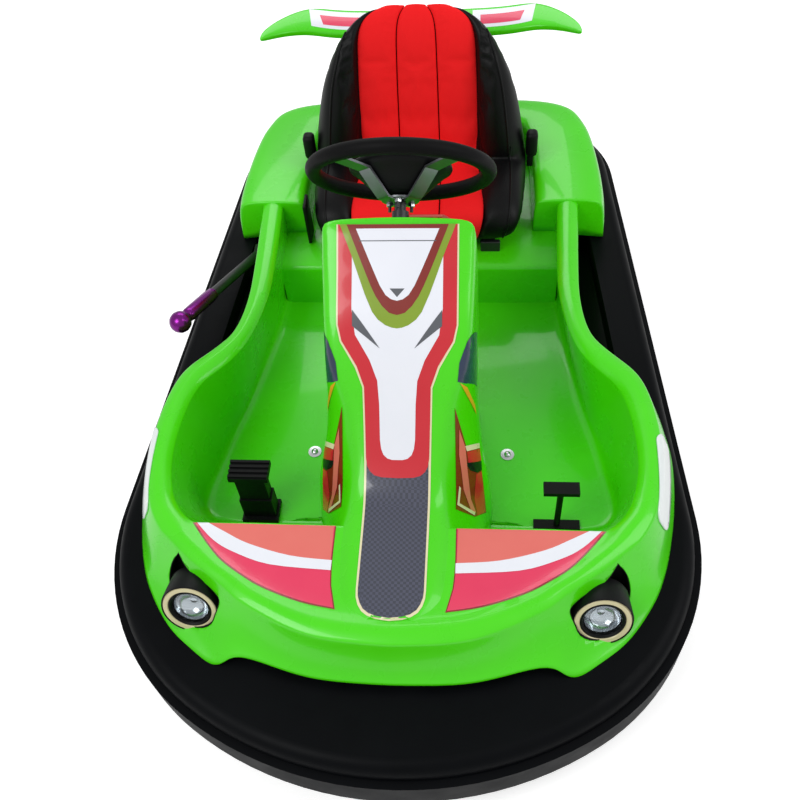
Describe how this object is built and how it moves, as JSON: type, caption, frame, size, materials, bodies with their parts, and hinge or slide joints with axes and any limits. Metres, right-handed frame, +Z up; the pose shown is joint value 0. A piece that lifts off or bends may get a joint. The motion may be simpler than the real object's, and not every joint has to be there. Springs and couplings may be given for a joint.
{
  "type": "racing kart",
  "caption": "Electric racing kart: green moulded body inside a closed rubber bumper ring, bucket seat, steering console, lamps, rear wing and steered front wheels.",
  "frame": {"origin": "on the ground at the middle of the bounding box", "axes": "+Z up, the nose points to -Y, +X is the driver's left"},
  "size_m": [1.105, 1.7596, 0.8082],
  "materials": {
    "green_moulding": "gloss",
    "bumper_rubber": "matte",
    "frame_steel": "satin",
    "tyre": "matte",
    "rim_paint": "satin",
    "bare_steel": "brushed",
    "grip_rubber": "matte",
    "black_plastic": "matte",
    "lamp_glass": "clear",
    "white_plate": "gloss",
    "seat_red": "woven",
    "seat_black": "satin",
    "purple_anodised": "anodised",
    "lead_red": "satin",
    "motor_iron": "painted",
    "battery_case": "matte"
  },
  "bodies": {
    "chassis": {"accelerator_pedal": "black_plastic", "battery": "battery_case", "brake_pedal": "black_plastic", "bumper_hoop": "frame_steel", "bumper_ring": "bumper_rubber", "cockpit_tub": "green_moulding", "console": "green_moulding", "cross_member_middle": "frame_steel", "cross_member_rear": "frame_steel", "cross_member_seat": "frame_steel", "drift_grip": "purple_anodised", "drift_lever": "black_plastic", "frame_rail_left": "frame_steel", "frame_rail_right": "frame_steel", "front_beam": "frame_steel", "lamp_left": "black_plastic", "lamp_lens_left": "lamp_glass", "lamp_lens_right": "lamp_glass", "lamp_right": "black_plastic", "lead": "lead_red", "motor": "motor_iron", "nose_cowl": "green_moulding", "nose_panel": "black_plastic", "rear_body": "green_moulding", "rear_wing": "green_moulding", "seat_insert": "seat_red", "seat_platform": "green_moulding", "seat_shell": "seat_black", "side_plate_left": "white_plate", "side_plate_right": "white_plate", "steering_post": "frame_steel"},
    "steering": {"steering_rim": "grip_rubber", "steering_column": "bare_steel", "steering_pad": "grip_rubber"},
    "drop": {"drop_shaft": "bare_steel"},
    "rod": {"track_rod": "bare_steel"},
    "knuckle_l": {"knuckle_left": "bare_steel"},
    "knuckle_r": {"knuckle_right": "bare_steel"},
    "wheel_fl": {"tyre_front_left": "tyre", "rim_front_left": "rim_paint"},
    "wheel_fr": {"tyre_front_right": "tyre", "rim_front_right": "rim_paint"},
    "rear": {"rear_axle": "bare_steel", "tyre_rear_left": "tyre", "tyre_rear_right": "tyre"}
  },
  "joints": [
    {"name": "steering_turn", "type": "hinge", "parent": "chassis", "child": "steering", "pos_m": [0, 0, 0.636], "axis": [0, 0.8192, 0.5736], "range_deg": [-60, 60]},
    {"name": "drop_turn", "type": "hinge", "parent": "chassis", "child": "drop", "pos_m": [0, -0.221, 0.2], "axis": [0, 0, 1], "range_deg": [-21, 21]},
    {"name": "rod_pivot", "type": "hinge", "parent": "drop", "child": "rod", "pos_m": [0, -0.131, 0.095], "axis": [0, 0, 1], "range_deg": [-21, 21]},
    {"name": "knuckle_l_turn", "type": "hinge", "parent": "chassis", "child": "knuckle_l", "pos_m": [0.198, -0.55, 0.1], "axis": [0, 0, 1], "range_deg": [-21, 21]},
    {"name": "knuckle_r_turn", "type": "hinge", "parent": "chassis", "child": "knuckle_r", "pos_m": [-0.198, -0.55, 0.1], "axis": [0, 0, 1], "range_deg": [-21, 21]},
    {"name": "front_wheel_l_spin", "type": "hinge", "parent": "knuckle_l", "child": "wheel_fl", "pos_m": [0.27, -0.55, 0.1], "axis": [1, 0, 0], "continuous": true},
    {"name": "front_wheel_r_spin", "type": "hinge", "parent": "knuckle_r", "child": "wheel_fr", "pos_m": [-0.27, -0.55, 0.1], "axis": [1, 0, 0], "continuous": true},
    {"name": "rear_axle_spin", "type": "hinge", "parent": "chassis", "child": "rear", "pos_m": [0, 0.49, 0.12], "axis": [1, 0, 0], "continuous": true}
  ],
  "couplings": [
    {"joint": "drop_turn", "follows": "steering_turn", "ratio": 0.33333},
    {"joint": "rod_pivot", "follows": "steering_turn", "ratio": -0.33333},
    {"joint": "knuckle_l_turn", "follows": "steering_turn", "ratio": 0.33333},
    {"joint": "knuckle_r_turn", "follows": "steering_turn", "ratio": 0.33333}
  ]
}
